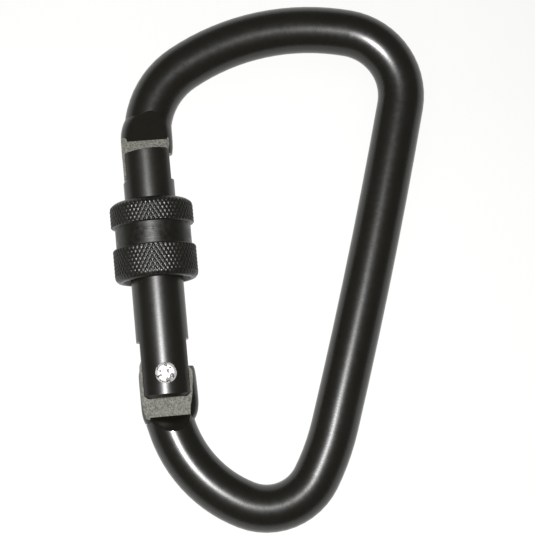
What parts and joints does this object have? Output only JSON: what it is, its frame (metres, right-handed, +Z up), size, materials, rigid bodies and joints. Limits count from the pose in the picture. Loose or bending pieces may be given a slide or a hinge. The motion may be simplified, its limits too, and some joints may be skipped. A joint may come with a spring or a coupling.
{
  "type": "locking carabiner",
  "caption": "Offset-D screw-gate carabiner with a bent round-rod body, a sprung hinged gate and a knurled locking sleeve that screws up over the nose.",
  "frame": {"origin": "middle of the bounding box of the closed carabiner with its sleeve unlocked", "axes": "the carabiner lies flat in XY: +Y runs up the closed gate from hinge to nose, +X points from the gate towards the spine, +Z is up, square to the flat of the carabiner"},
  "size_m": [0.0728, 0.1165, 0.0184],
  "materials": {
    "body_black": "black anodised, semi-gloss, with bare machined flats",
    "gate_black": "black anodised, semi-gloss",
    "rivet_steel": "bare, peened head",
    "pin_steel": "ground",
    "plunger_brass": "turned",
    "spring_steel": "drawn wire",
    "ring_nylon": "moulded",
    "sleeve_black": "black anodised, diamond knurled"
  },
  "bodies": {
    "frame": {"carabiner_body": "body_black"},
    "gate": {"gate": "gate_black", "hinge_rivet": "rivet_steel", "latch_pin": "pin_steel", "gate_spring": "spring_steel"},
    "plunger": {"spring_plunger": "plunger_brass"},
    "ring": {"friction_ring": "ring_nylon"},
    "sleeve": {"locking_sleeve": "sleeve_black"}
  },
  "joints": [
    {"name": "gate_hinge", "type": "hinge", "parent": "frame", "child": "gate", "pos_m": [-0.02722, -0.02215, 0], "axis": [0, 0, -1], "range_deg": [0, 29], "stiffness_Nm_per_rad": 0.17, "springref_deg": -40.11},
    {"name": "plunger_slide", "type": "slide", "parent": "gate", "child": "plunger", "axis": [0, 1, 0], "range_m": [0, 0.00135], "deforming": ["gate_spring"]},
    {"name": "sleeve_travel", "type": "slide", "parent": "gate", "child": "ring", "axis": [0, 1, 0], "range_m": [0, 0.012]},
    {"name": "sleeve_turn", "type": "hinge", "parent": "ring", "child": "sleeve", "pos_m": [-0.02722, 0.0075, 0], "axis": [0, 1, 0], "range_deg": [0, 2160]}
  ],
  "couplings": [
    {"joint": "plunger_slide", "follows": "gate_hinge", "m_per_rad": 0.0026},
    {"joint": "sleeve_turn", "follows": "sleeve_travel", "rad_per_m": 3141.6}
  ]
}
